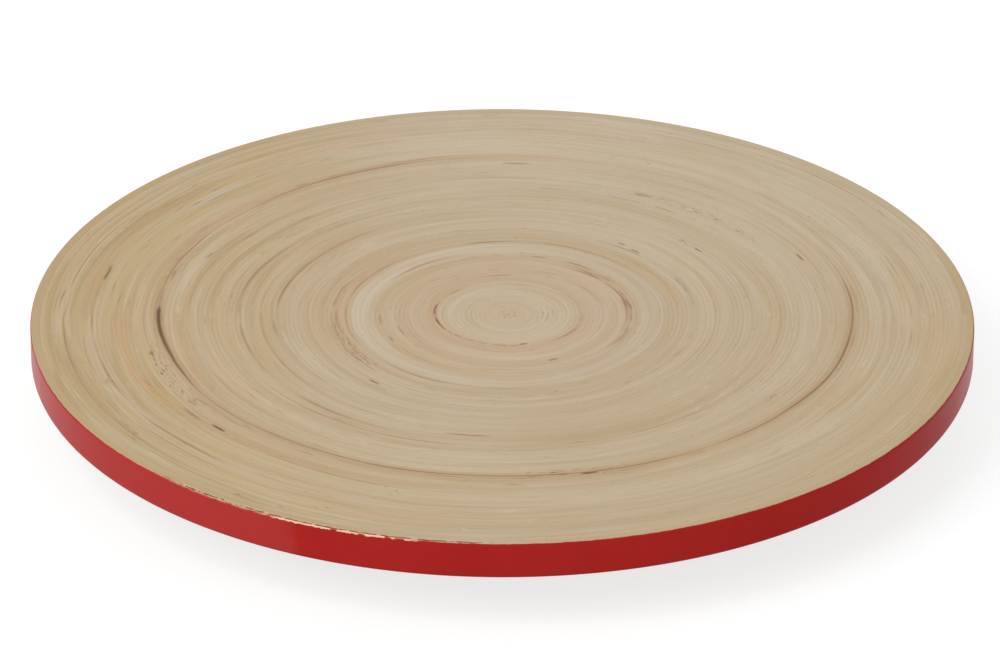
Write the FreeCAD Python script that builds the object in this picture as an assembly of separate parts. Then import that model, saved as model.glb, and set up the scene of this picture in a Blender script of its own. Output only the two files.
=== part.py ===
"""Lazy susan turntable: a disc of spun bamboo that turns on a ball-bearing ring, over a small base on rubber feet.

The disc is wound on edge from long bamboo strips, one after another, glued, and then turned round and sanded
flat. Each strip is a solid of its own: where one ends, the next is butted to it and carries the same spiral on.
The last strip goes round the rim and is lacquered red on its outside.

Two L-shaped aluminium rings hold one row of steel balls in a plastic retainer. The inner ring is screwed down to
the base, and the outer ring is screwed up to the disc, through the hole in the base that lets a screwdriver in.

Frame: millimetres, +Z up. The origin is on the table, under the turning axis.
"""

import FreeCAD, Part
import math
import os

# Disc of wound bamboo strip
disc_diameter = 350.0
disc_thickness = 14.0
strip_thickness = 1.75
strip_ends = (0.145, 0.215, 0.285, 0.34, 0.44, 0.50, 0.56, 0.62,
              0.68, 0.73, 0.78, 0.83, 0.875, 0.915, 0.95)  # where each strip ends, as shares of the radius
edge_strip_turns = 2
winding_drift = 2.6         # from the turning axis to the winding's eye, along +X
disc_top_round = 0.8
disc_bottom_round = 1.4

# Base disc
base_diameter = 220.0
base_thickness = 9.0
base_edge_round = 2.0
driver_hole_diameter = 14.0
driver_hole_angle = 0.0     # one of the outer ring's screws stands over it at rest

# Bearing: balls, their retainer, and two rings, each with a wall, a raceway groove and a screw flange
ball_diameter = 4.0
ball_count = 24
ball_circle_diameter = 124.0
raceway_clearance = 0.05    # between a ball and its groove
bearing_height = 10.0       # from the base disc to the turning disc
land_gap = 1.6              # between the two rings' walls
ring_wall = 4.2
ring_flange_width = 10.0
ring_flange_thickness = 2.5
ring_end_clearance = 0.6    # between each ring and the disc that it turns against
ring_edge_break = 0.4
retainer_height = 6.0
retainer_clearance = 0.3    # between the retainer and each ring's wall
retainer_pocket_clearance = 0.1
filler_hole_play = 0.5      # the filling hole is this much wider than a ball
filler_plug_angle = 45.0
filler_socket_across_flats = 2.5
filler_socket_depth = 1.6

# Wood screws: countersunk ones hold the rings, pan-head ones hold the feet
ring_screw_count = 4
inner_ring_screw_turn = 45.0
screw_diameter = 3.5
screw_tip_length = 2.5
screw_core_share = 0.15     # radius left at the blunt end of the tip, as a share of the shank's
countersunk_head_diameter = 6.8
pan_head_diameter = 6.6
pan_head_height = 1.8
outer_ring_screw_grip = 9.0     # length in the disc
inner_ring_screw_grip = 7.0     # length in the base
foot_screw_grip = 6.5
screw_fit = 0.02            # between a screw and the wood or metal around it
cross_recess_width = 0.9
cross_recess_length = 3.6
cross_recess_depth = 1.2
cross_recess_floor_share = 0.45     # the cross is this much shorter at its floor than at its mouth

# Rubber feet
foot_count = 4
foot_turn = 45.0
foot_inset = 15.0           # from the base's edge to a foot's centre
foot_height = 5.0
foot_top_diameter = 22.0
foot_bottom_diameter = 18.0
foot_edge_round = 1.0
foot_recess_diameter = 9.4
foot_recess_depth = 3.6
washer_diameter = 9.0
washer_thickness = 0.8
washer_hole_clearance = 0.15

# Heights, from the table up
base_bottom = foot_height
base_top = base_bottom + base_thickness
disc_bottom = base_top + bearing_height
disc_top = disc_bottom + disc_thickness
ball_height = base_top + bearing_height / 2

# Radii
disc_radius = disc_diameter / 2
base_radius = base_diameter / 2
ball_radius = ball_diameter / 2
ball_circle_radius = ball_circle_diameter / 2
groove_radius = ball_radius + raceway_clearance
filler_hole_radius = ball_radius + filler_hole_play / 2
inner_land_radius = ball_circle_radius - land_gap / 2
outer_land_radius = ball_circle_radius + land_gap / 2
inner_ring_screw_radius = inner_land_radius - ring_wall - ring_flange_width / 2
outer_ring_screw_radius = outer_land_radius + ring_wall + ring_flange_width / 2
foot_circle_radius = base_radius - foot_inset
screw_radius = screw_diameter / 2

overrun = 1.0       # how far a cut runs past the face that it opens
nearness = 0.01     # places closer than this are the same place

UP = FreeCAD.Vector(0, 0, 1)
ORIGIN = FreeCAD.Vector(0, 0, 0)


def at(radius, angle, height=0.0):
    """The point at this radius, angle in degrees and height."""
    turn = math.radians(angle)
    return FreeCAD.Vector(radius * math.cos(turn), radius * math.sin(turn), height)


def evenly(count, first=0.0):
    """That many angles in degrees, spaced evenly round the axis."""
    return [first + 360.0 * i / count for i in range(count)]


def cylinder(radius, low, high, centre=ORIGIN):
    return Part.makeCylinder(radius, high - low, FreeCAD.Vector(centre.x, centre.y, low), UP)


def turned(*outline):
    """A solid of revolution about Z. The outline is (radius, height) corners in order; a pair of points in one
    entry is the middle and the end of an arc."""
    points = [entry if not isinstance(entry[0], tuple) else entry[1] for entry in outline]
    edges = []
    for start, entry in zip([points[-1], *points[:-1]], outline):
        begin = FreeCAD.Vector(start[0], 0, start[1])
        if isinstance(entry[0], tuple):
            middle, end = (FreeCAD.Vector(p[0], 0, p[1]) for p in entry)
            edges.append(Part.Arc(begin, middle, end).toShape())
        else:
            edges.append(Part.makeLine(begin, FreeCAD.Vector(entry[0], 0, entry[1])))
    return Part.Face(Part.Wire(edges)).revolve(ORIGIN, UP, 360)


def solid_of(shape):
    """The one solid of a shape, without the compound that a cut leaves round it."""
    return shape.Solids[0]


def write(name, *solids):
    """Writes one sub-part, of one solid or of several like ones."""
    shape = solids[0] if len(solids) == 1 else Part.makeCompound(list(solids))
    shape.exportStep(f"parts/{name}.step")


# --- Wound disc ---

def winding_turn(radius):
    """One closed turn round the winding, where a strip ends at this radius. Four quarter arcs step out by a
    quarter of the strip's thickness each, about the corners of a small square, so they run on smoothly as a
    spiral does. The straight step at the end is the butt joint between two strips."""
    step = strip_thickness / 4
    start_angle = 360.0 * (radius / strip_thickness % 1.0)
    eye = FreeCAD.Vector(winding_drift * (1 - radius / disc_radius), 0, disc_bottom)
    centre = FreeCAD.Vector(-step / 2, step / 2, 0)
    reach = radius - strip_thickness / 2
    edges, ends = [], []
    for quarter in evenly(4):
        arc = [centre + at(reach, quarter + sweep) for sweep in (0, 45, 90)]
        edges.append(Part.Arc(*arc).toShape())
        ends += [arc[0], arc[2]]
        centre = centre - at(step, quarter + 90)
        reach += step
    edges.append(Part.makeLine(ends[-1], ends[0]))
    turn = Part.Wire(edges)
    turn.rotate(ORIGIN, UP, start_angle)
    turn.translate(eye)
    return turn


def wound_ring(inner, outer):
    """The solid between two closed turns, as thick as the disc. With no inner turn it is full to the middle."""
    wires = [outer] if inner is None else [outer, inner]
    return Part.makeFace(wires, "Part::FaceMakerBullseye").extrude(UP * disc_thickness)


def disc_strips():
    """The strips from the eye out, by name. The last one is turned round and has its edges rounded."""
    edge_strip_radius = disc_radius - edge_strip_turns * strip_thickness
    ends = [share * disc_radius for share in strip_ends] + [edge_strip_radius]
    turns = [winding_turn(radius) for radius in ends]
    strips = {}
    for number, (inner, outer) in enumerate(zip([None, *turns[:-1]], turns), start=1):
        strips[f"bamboo_strip_{number:02d}"] = wound_ring(inner, outer)
    rim = Part.Wire(Part.makeCircle(disc_radius, FreeCAD.Vector(0, 0, disc_bottom), UP))
    strips["edge_strip"] = rounded_rim(wound_ring(turns[-1], rim))
    return strips


def rounded_rim(ring):
    """The edge strip with its two outside edges rounded, the lower one more than the upper one."""
    for height, round_radius in ((disc_top, disc_top_round), (disc_bottom, disc_bottom_round)):
        ring = ring.makeFillet(round_radius, [e for e in circles(ring, height) if is_rim(e)])
    return ring


def circles(shape, height):
    """The full circles and arcs of a shape that lie level at this height."""
    return [e for e in shape.Edges
            if e.Curve.TypeId == "Part::GeomCircle" and abs(e.CenterOfMass.z - height) < nearness]


def is_rim(edge):
    """Whether an arc runs round the disc's outside."""
    return abs(edge.Curve.Radius - disc_radius) < nearness


# --- Base disc ---

def base_disc():
    disc = cylinder(base_radius, base_bottom, base_top)
    disc = disc.makeFillet(base_edge_round, circles(disc, base_bottom) + circles(disc, base_top))
    driver_hole_centre = at(outer_ring_screw_radius, driver_hole_angle)
    holes = [cylinder(driver_hole_diameter / 2, base_bottom, base_top, driver_hole_centre)]
    for angle in evenly(ring_screw_count, inner_ring_screw_turn):
        holes.append(pilot_hole(at(inner_ring_screw_radius, angle, base_top), inner_ring_screw_grip, -UP))
    for angle in evenly(foot_count, foot_turn):
        holes.append(pilot_hole(at(foot_circle_radius, angle, base_bottom), foot_screw_grip, UP))
    return solid_of(disc.cut(holes))


# --- Bearing ---

def inner_ring():
    """Fixed ring: a flange on the base disc, and a wall with the raceway on its outside."""
    land, wall = inner_land_radius, inner_land_radius - ring_wall
    low, high = base_top, disc_bottom - ring_end_clearance
    shelf, bore = base_top + ring_flange_thickness, wall - ring_flange_width
    reach = groove_reach()
    ring = turned(
        (bore, low), (land - ring_edge_break, low), (land, low + ring_edge_break),
        (land, ball_height - reach),
        ((ball_circle_radius - groove_radius, ball_height), (land, ball_height + reach)),
        (land, high - ring_edge_break), (land - ring_edge_break, high),
        (wall, high), (wall, shelf), (bore + ring_edge_break, shelf), (bore, shelf - ring_edge_break),
    )
    sinks = [countersink(at(inner_ring_screw_radius, angle, shelf), UP)
             for angle in evenly(ring_screw_count, inner_ring_screw_turn)]
    return solid_of(ring.cut(sinks))


def outer_ring_blank():
    """Turning ring before its holes: a flange under the disc, and a wall with the raceway on its inside."""
    land, wall = outer_land_radius, outer_land_radius + ring_wall
    low, high = base_top + ring_end_clearance, disc_bottom
    shelf, rim = disc_bottom - ring_flange_thickness, wall + ring_flange_width
    reach = groove_reach()
    return turned(
        (land + ring_edge_break, low), (wall, low), (wall, shelf),
        (rim - ring_edge_break, shelf), (rim, shelf + ring_edge_break), (rim, high),
        (land + ring_edge_break, high), (land, high - ring_edge_break),
        (land, ball_height + reach),
        ((ball_circle_radius + groove_radius, ball_height), (land, ball_height - reach)),
        (land, low + ring_edge_break),
    )


def groove_reach():
    """Half the height of the raceway's mouth in a ring's wall."""
    return math.sqrt(groove_radius ** 2 - (land_gap / 2) ** 2)


def filler_core(radius):
    """A radial bar through the outer ring's wall at the balls' height, where the balls go in."""
    start = at(ball_circle_radius, filler_plug_angle, ball_height)
    return Part.makeCylinder(radius, ring_wall + land_gap, start, at(1, filler_plug_angle))


def outer_ring():
    shelf = disc_bottom - ring_flange_thickness
    holes = [countersink(at(outer_ring_screw_radius, angle, shelf), -UP) for angle in evenly(ring_screw_count)]
    return solid_of(outer_ring_blank().cut([*holes, filler_core(filler_hole_radius)]))


def filler_plug():
    """The plug that closes the balls' filling hole. Its inner end carries the raceway on, and its outer end has
    a hexagon socket."""
    plug = outer_ring_blank().common(filler_core(filler_hole_radius - screw_fit))
    face = outer_land_radius + ring_wall
    out = at(1, filler_plug_angle)
    corner = filler_socket_across_flats / math.sqrt(3)
    across = FreeCAD.Vector(0, 0, 1).cross(out)
    depth_point = at(face - filler_socket_depth, filler_plug_angle, ball_height)
    corners = [depth_point + across * (corner * math.cos(turn)) + UP * (corner * math.sin(turn))
               for turn in map(math.radians, evenly(6))]
    socket = Part.Face(Part.makePolygon([*corners, corners[0]])).extrude(out * (filler_socket_depth + overrun))
    return solid_of(plug.cut(socket))


def ball_retainer():
    """A thin band between the two rings, with a round pocket for each ball."""
    inner, outer = inner_land_radius + retainer_clearance, outer_land_radius - retainer_clearance
    low, high = ball_height - retainer_height / 2, ball_height + retainer_height / 2
    band = turned((inner, low), (outer, low), (outer, high), (inner, high))
    pocket = ball_radius + retainer_pocket_clearance
    start = ball_circle_radius - land_gap / 2
    pockets = [Part.makeCylinder(pocket, land_gap, at(start, angle, ball_height), at(1, angle))
               for angle in evenly(ball_count)]
    return solid_of(band.cut(pockets))


def balls():
    return [Part.makeSphere(ball_radius, at(ball_circle_radius, angle, ball_height)) for angle in evenly(ball_count)]


# --- Screws ---

def pilot_hole(mouth, depth, direction):
    """The hole that a wood screw fills: its shank, then its tip."""
    return screw_shank(mouth, depth, direction, screw_radius + screw_fit)


def screw_shank(start, length, direction, radius):
    """A plain shank with a blunt tip, whose thread is left out."""
    straight = length - screw_tip_length
    shank = Part.makeCylinder(radius, straight, start, direction)
    tip = Part.makeCone(radius, radius * screw_core_share, screw_tip_length, start + direction * straight, direction)
    return shank.fuse(tip).removeSplitter()


def countersink(face_point, outward):
    """The countersunk hole that a ring screw fills, to be cut from a flange. It is cut from the flange's free
    face, which has this outward direction."""
    head_radius = countersunk_head_diameter / 2 + screw_fit
    hole_radius = screw_radius + screw_fit
    cone = Part.makeCone(head_radius, hole_radius, head_radius - hole_radius, face_point, -outward)
    return cone.fuse(Part.makeCylinder(hole_radius, ring_flange_thickness, face_point, -outward))


def cross_recess(top, into):
    """The driver's cross in a screw head: two crossed bars that narrow with depth."""
    half = cross_recess_length / 2
    cone = Part.makeCone(half, half * cross_recess_floor_share, cross_recess_depth, top, into)
    bars = []
    for length, width in ((cross_recess_length, cross_recess_width), (cross_recess_width, cross_recess_length)):
        corner = top + FreeCAD.Vector(-length / 2, -width / 2, 0)
        bars.append(Part.Face(Part.makePolygon([
            corner, corner + FreeCAD.Vector(length, 0, 0), corner + FreeCAD.Vector(length, width, 0),
            corner + FreeCAD.Vector(0, width, 0), corner])).extrude(into * cross_recess_depth))
    return bars[0].fuse(bars[1]).common(cone)


def countersunk_screw(face_point, outward, grip):
    """A screw whose head lies flush with a flange's free face and whose shank goes grip beyond the flange."""
    head_radius = countersunk_head_diameter / 2
    head = Part.makeCone(head_radius, screw_radius, head_radius - screw_radius, face_point, -outward)
    shank = screw_shank(face_point, ring_flange_thickness + grip, -outward, screw_radius)
    return solid_of(head.fuse(shank).cut(cross_recess(face_point, -outward)))


def inner_ring_screws():
    shelf = base_top + ring_flange_thickness
    return [countersunk_screw(at(inner_ring_screw_radius, angle, shelf), UP, inner_ring_screw_grip)
            for angle in evenly(ring_screw_count, inner_ring_screw_turn)]


def outer_ring_screws():
    shelf = disc_bottom - ring_flange_thickness
    return [countersunk_screw(at(outer_ring_screw_radius, angle, shelf), -UP, outer_ring_screw_grip)
            for angle in evenly(ring_screw_count)]


def foot_screw(centre):
    """A pan-head screw up through a foot's washer into the base disc."""
    seat = foot_recess_depth - washer_thickness
    face = seat - pan_head_height
    head = cylinder(pan_head_diameter / 2, face, seat, centre)
    head = head.makeFillet(pan_head_height / 2, circles(head, face))
    shank = screw_shank(centre + UP * seat, foot_height - seat + foot_screw_grip, UP, screw_radius)
    return solid_of(head.fuse(shank).cut(cross_recess(centre + UP * face, UP)))


# --- Feet ---

def rubber_foot(centre):
    """A moulded bumper, wider where it meets the base, with a recess below for its washer and screw."""
    bottom, top = foot_bottom_diameter / 2, foot_top_diameter / 2
    recess, hole = foot_recess_diameter / 2, screw_radius + screw_fit
    bend = foot_edge_round * (1 - math.sqrt(0.5))
    foot = turned(
        (recess, 0), (bottom - foot_edge_round, 0), ((bottom - bend, bend), (bottom, foot_edge_round)),
        (top, foot_height), (hole, foot_height), (hole, foot_recess_depth), (recess, foot_recess_depth),
    )
    foot.translate(centre)
    return foot


def foot_washer(centre):
    low, high = foot_recess_depth - washer_thickness, foot_recess_depth
    hole = screw_radius + washer_hole_clearance
    return solid_of(cylinder(washer_diameter / 2, low, high, centre).cut(cylinder(hole, low, high, centre)))


# --- Assembly ---

def main():
    os.makedirs("parts", exist_ok=True)
    thread_holes = [pilot_hole(at(outer_ring_screw_radius, angle, disc_bottom), outer_ring_screw_grip, UP)
                    for angle in evenly(ring_screw_count)]
    for name, strip in disc_strips().items():
        write(name, solid_of(strip.cut(thread_holes)))
    write("bearing_outer_ring", outer_ring())
    write("ball_filler_plug", filler_plug())
    write("outer_ring_screws", *outer_ring_screws())
    write("ball_retainer", ball_retainer())
    write("bearing_balls", *balls())
    write("bearing_inner_ring", inner_ring())
    write("inner_ring_screws", *inner_ring_screws())
    write("base_disc", base_disc())
    foot_centres = [at(foot_circle_radius, angle) for angle in evenly(foot_count, foot_turn)]
    for number, centre in enumerate(foot_centres, start=1):
        write(f"rubber_foot_{number}", rubber_foot(centre))
    write("foot_washers", *[foot_washer(centre) for centre in foot_centres])
    write("foot_screws", *[foot_screw(centre) for centre in foot_centres])


main()
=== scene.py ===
"""The looks of a lazy susan turntable: spun bamboo, a red lacquered rim, a ball-bearing ring and a base.

Everything is in metres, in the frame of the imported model: +Z up, the origin on the table under the axis.
Each wound strip of the disc is built here again as the long coiled ribbon that it is, with a fine groove
where one turn meets the next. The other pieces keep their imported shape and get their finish.
"""
import math

import bpy
import numpy as np
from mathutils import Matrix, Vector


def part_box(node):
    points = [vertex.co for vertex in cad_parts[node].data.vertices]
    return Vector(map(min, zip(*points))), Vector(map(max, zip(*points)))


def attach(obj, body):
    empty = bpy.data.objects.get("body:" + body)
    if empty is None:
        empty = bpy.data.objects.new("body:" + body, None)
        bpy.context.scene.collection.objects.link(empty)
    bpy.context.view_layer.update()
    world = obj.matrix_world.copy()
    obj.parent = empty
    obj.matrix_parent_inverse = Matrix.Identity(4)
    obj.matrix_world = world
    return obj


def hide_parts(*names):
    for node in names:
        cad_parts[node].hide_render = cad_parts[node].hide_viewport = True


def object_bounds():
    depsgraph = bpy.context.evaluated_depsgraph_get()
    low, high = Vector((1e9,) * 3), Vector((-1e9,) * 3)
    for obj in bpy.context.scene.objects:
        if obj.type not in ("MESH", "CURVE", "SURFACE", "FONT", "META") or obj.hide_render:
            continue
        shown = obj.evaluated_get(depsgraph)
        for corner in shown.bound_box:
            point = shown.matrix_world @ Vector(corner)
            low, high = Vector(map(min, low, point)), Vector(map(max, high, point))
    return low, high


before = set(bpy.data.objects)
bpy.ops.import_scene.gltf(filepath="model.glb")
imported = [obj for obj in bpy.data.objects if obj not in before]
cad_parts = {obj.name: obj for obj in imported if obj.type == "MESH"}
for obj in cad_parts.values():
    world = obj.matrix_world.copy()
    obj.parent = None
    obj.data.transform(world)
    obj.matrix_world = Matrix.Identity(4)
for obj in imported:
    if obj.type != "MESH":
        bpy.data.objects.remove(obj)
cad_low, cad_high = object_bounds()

MM = 0.001

# The winding, as the model winds it
STRIP_THICKNESS = 1.75 * MM
STRIP_ENDS = (0.145, 0.215, 0.285, 0.34, 0.44, 0.50, 0.56, 0.62,
              0.68, 0.73, 0.78, 0.83, 0.875, 0.915, 0.95, 0.98)  # shares of the radius
WINDING_DRIFT = 2.6 * MM        # from the axis to the winding's eye, along +X
RIM_TOP_ROUND = 0.8 * MM
RIM_BOTTOM_ROUND = 1.4 * MM

RIM_LOW, RIM_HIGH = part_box("edge_strip")
DISC_RADIUS = RIM_HIGH.x
RIM_RADIUS = min(-cad_low.x, cad_high.x, -cad_low.y, cad_high.y)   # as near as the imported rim's flats come
DISC_TOP = RIM_HIGH.z
DISC_BOTTOM = RIM_LOW.z

TURN = 2 * math.pi


# --- Meshes of the disc ---

def eye_shift(radius):
    """How far the winding's centre lies from the axis, at this distance from it."""
    return WINDING_DRIFT * (1 - radius / DISC_RADIUS)


def relief(radius, angle):
    """How deep the sanded face lies under its highest points: harder and softer turns make low rings."""
    waves = (  # depth, pitch, how many times it swells and fades round a turn, phase
        (0.030 * MM, 4.4 * MM, 2, 0.3), (0.022 * MM, 3.1 * MM, 3, 1.9), (0.020 * MM, 7.3 * MM, 1, 4.0),
        (0.014 * MM, 5.6 * MM, 5, 2.6), (0.040 * MM, 31.0 * MM, 1, 0.8),
    )
    depth = np.zeros_like(radius)
    for size, pitch, lobes, phase in waves:
        swell = 0.6 + 0.4 * np.sin(lobes * angle + 9 * phase)
        sway = 0.7 * np.sin(angle * lobes + phase)
        depth += size * swell * (1 + np.sin(TURN * radius / pitch + phase + sway))
    return depth


def groove(radius, angle, depth):
    """The depth of the groove between two turns, which opens and closes along the winding."""
    swell = np.sin(3 * angle + radius / (2.3 * MM)) + np.sin(5 * angle - radius / (3.7 * MM))
    return depth * (1 + 0.45 * swell)


class Skin:
    """The points and faces of a piece, and each face's place in its unrolled picture."""

    def __init__(self):
        self.points, self.faces, self.picture, self.flat = [], [], [], []

    def add_points(self, rows):
        first = len(self.points)
        self.points.extend(tuple(map(float, row)) for row in rows)
        return first

    def add_face(self, corners, picture, flat=False):
        """A flat face gets points of its own, so that it doesn't bend the shading of its neighbours."""
        if flat:
            first = self.add_points([self.points[corner] for corner in corners])
            corners = list(range(first, first + len(corners)))
        self.faces.append(corners)
        self.picture.extend(picture)
        self.flat.append(flat)

    def piece(self, name, body, material, node, slot):
        """A mesh object that stands for one node and rides on its body."""
        mesh = bpy.data.meshes.new(name)
        mesh.from_pydata(self.points, [], self.faces)
        mesh.polygons.foreach_set("use_smooth", [not flat for flat in self.flat])
        unrolled = mesh.uv_layers.new(name="OFBake")
        unrolled.data.foreach_set("uv", [value for place in self.picture for value in place])
        mesh.materials.append(material)
        piece = bpy.data.objects.new(name, mesh)
        bpy.context.scene.collection.objects.link(piece)
        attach(piece, body)
        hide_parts(node)
        return piece


ACROSS_TOP = (0.0, 0.12, 0.5, 0.88)      # places across one turn, from its inner seam
ACROSS_BOTTOM = (0.0, 0.5)
STEP_LENGTH = 3.0 * MM
GROOVE_DEPTH = 0.055 * MM
CROWN_DROP = 0.012 * MM
CORE_DROP = 0.05 * MM                    # how far the middle of the eye lies below the face
EYE_PICTURE = 0.045                      # the eye's radius in the unrolled picture
BAND_MARGIN = 0.06                       # the empty part at each side of a band of that picture
WALL_FROM = 0.3                          # where the walls start along the picture's last band
CUT_END_MIDDLE, CUT_END_WIDTH, CUT_END_HEIGHT = 0.2, 0.02, 0.3


def ribbon(start, end, steps, has_core):
    """A strip coiled from one step to another, with this many steps to a turn. Its turns share seams."""
    skin = Skin()
    length = end - start
    turns = -(-length // steps)
    coil_share = TURN * (end / steps) / (2 * turns)
    segments = 2 ** round(math.log2(math.sqrt(coil_share)))   # the picture shows each turn cut into these
    per_segment = steps // segments
    bands = 2 * segments + 1

    def band_place(band, share):
        return (band + BAND_MARGIN + (1 - 2 * BAND_MARGIN) * share) / bands

    def face_grid(across, level, side):
        """One face of the strip: a row of points per step, then the outer edge of its last turn."""
        count = len(across)
        sign = 1 if side == 0 else -1
        rows = np.arange(start, end + steps + 1)
        columns = []
        for place in across:
            angle = TURN * rows / steps
            radius = STRIP_THICKNESS * (rows / steps + 0.5 + place)
            depth = relief(radius, angle)
            if place == 0.0:
                depth = depth + groove(radius, angle, GROOVE_DEPTH)
            elif place != 0.5:
                depth = depth + CROWN_DROP
            columns.append(np.stack([eye_shift(radius) + radius * np.cos(angle), radius * np.sin(angle),
                                     level - sign * depth], 1))
        grid = np.stack(columns, 1)
        first = skin.add_points(grid[:length + 1].reshape(-1, 3))
        outer = skin.add_points(grid[length + 1:, 0])

        def at(row, column):
            if column == count:
                row, column = row + steps, 0
            return outer + row - length - 1 if row > length else first + row * count + column

        edges = list(across) + [1.0]
        for row in range(length):
            turn, step = divmod(row, steps)
            segment, place = divmod(step, per_segment)
            low, high = place / per_segment, (place + 1) / per_segment
            for column in range(count):
                inner = band_place(2 * segment + side, (turn + edges[column]) / turns)
                out = band_place(2 * segment + side, (turn + edges[column + 1]) / turns)
                corners = [at(row, column), at(row, column + 1),
                           at(row + 1, column + 1), at(row + 1, column)]
                places = [(low, inner), (low, out), (high, out), (high, inner)]
                skin.add_face(corners[::sign], places[::sign])
        return at

    top = face_grid(ACROSS_TOP, DISC_TOP, 0)
    bottom = face_grid(ACROSS_BOTTOM, DISC_BOTTOM, 1)

    def wall(row, from_inside, step):
        """One flat face of the strip's outer side, or of its inner side where it starts."""
        low, high = (WALL_FROM + (1 - WALL_FROM) * place / steps for place in (step, step + 1))
        foot = band_place(bands - 1, 0.5 * from_inside)
        head = band_place(bands - 1, 0.5 * from_inside + 0.45)
        corners = [bottom(row, 0), bottom(row + 1, 0), top(row + 1, 0), top(row, 0)]
        places = [(low, foot), (high, foot), (high, head), (low, head)]
        order = -1 if from_inside else 1
        skin.add_face(corners[::order], places[::order], flat=True)

    def cut_end(row, order):
        """The flat end of the strip."""
        outline = [top(row, column) for column in range(len(ACROSS_TOP) + 1)]
        outline += [bottom(row, column) for column in range(len(ACROSS_BOTTOM), -1, -1)]
        places = []
        for corner in range(len(outline)):
            turned = TURN * corner / len(outline)
            places.append((CUT_END_MIDDLE + CUT_END_WIDTH * math.cos(turned),
                           band_place(bands - 1, 0.5 + CUT_END_HEIGHT * math.sin(turned))))
        skin.add_face(outline[::order], places[::order], flat=True)

    for step in range(steps):
        wall(length + step, False, step)
    cut_end(length, 1)
    if has_core:
        # The eye is closed by a fan of faces round one point
        for grid, level, count, side in ((top, DISC_TOP - CORE_DROP, len(ACROSS_TOP), 1),
                                         (bottom, DISC_BOTTOM + CORE_DROP, len(ACROSS_BOTTOM), -1)):
            loop = [grid(step, 0) for step in range(steps + 1)]
            loop += [grid(0, column) for column in range(count - 1, 0, -1)]
            centre = skin.add_points([(WINDING_DRIFT, 0.0, level)])
            middle = (0.1, band_place(bands - 1, 0.5 + 0.24 * side))

            def shown(point):
                x, y, _ = skin.points[point]
                size = EYE_PICTURE / (2 * STRIP_THICKNESS)
                return (middle[0] + (x - WINDING_DRIFT) * size, middle[1] + y * size)

            for near, far in zip(loop, loop[1:] + loop[:1]):
                corners = [centre, near, far]
                skin.add_face(corners[::side], [shown(corner) for corner in corners][::side])
    else:
        for step in range(steps):
            wall(step, True, step)
        cut_end(0, -1)
    return skin


def wound_strips(material):
    """The coiled strips, from the eye out."""
    starts = [0.0] + [share * DISC_RADIUS / STRIP_THICKNESS - 1 for share in STRIP_ENDS]
    for number, (start, end) in enumerate(zip(starts[:-1], starts[1:]), start=1):
        steps = 16 * round(TURN * end * STRIP_THICKNESS / STEP_LENGTH / 16 + 2)
        skin = ribbon(round(start * steps), round(end * steps), steps, number == 1)
        skin.piece(f"wound_strip_{number:02d}", "turntable", material, f"bamboo_strip_{number:02d}",
                   "natural_bamboo")


RIM_STEPS = 1440
RIM_TOP_PLACES = 9
RIM_ROUND_STEPS = 6
RIM_SIDE_STEPS = 8
RIM_SEGMENTS = 8          # the unrolled picture shows the rim cut into these, one above another
RIM_MARGIN = 0.04         # the empty part at each side of one of them
RIM_SEEN = 0.97           # how much of its height the faces that show take up
RIM_HIDDEN = (0.98, 1.0)  # where its hidden inner side goes
RIM_END_MIDDLE, RIM_END_WIDTH, RIM_END_HEIGHT = (0.5, 0.995), 0.4, 0.004


def rim_profile(angle, inner_radius):
    """Corners of the edge strip's section at an angle: along the top, over the rim, down and back below."""
    corners = []
    top_end = RIM_RADIUS - RIM_TOP_ROUND
    for i in range(RIM_TOP_PLACES):
        radius = inner_radius + (top_end - inner_radius) * i / RIM_TOP_PLACES
        fade = 1 - i / RIM_TOP_PLACES
        corners.append((radius, DISC_TOP - fade * float(relief(np.array(radius), angle))))
    for i in range(RIM_ROUND_STEPS + 1):
        tilt = math.pi / 2 * i / RIM_ROUND_STEPS
        corners.append((top_end + RIM_TOP_ROUND * math.sin(tilt),
                        DISC_TOP - RIM_TOP_ROUND * (1 - math.cos(tilt))))
    side_top, side_bottom = DISC_TOP - RIM_TOP_ROUND, DISC_BOTTOM + RIM_BOTTOM_ROUND
    for i in range(1, RIM_SIDE_STEPS):
        corners.append((RIM_RADIUS, side_top + (side_bottom - side_top) * i / RIM_SIDE_STEPS))
    for i in range(RIM_ROUND_STEPS + 1):
        tilt = math.pi / 2 * i / RIM_ROUND_STEPS
        corners.append((RIM_RADIUS - RIM_BOTTOM_ROUND * (1 - math.cos(tilt)),
                        side_bottom - RIM_BOTTOM_ROUND * math.sin(tilt)))
    corners.append((inner_radius, DISC_BOTTOM))
    return corners


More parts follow.
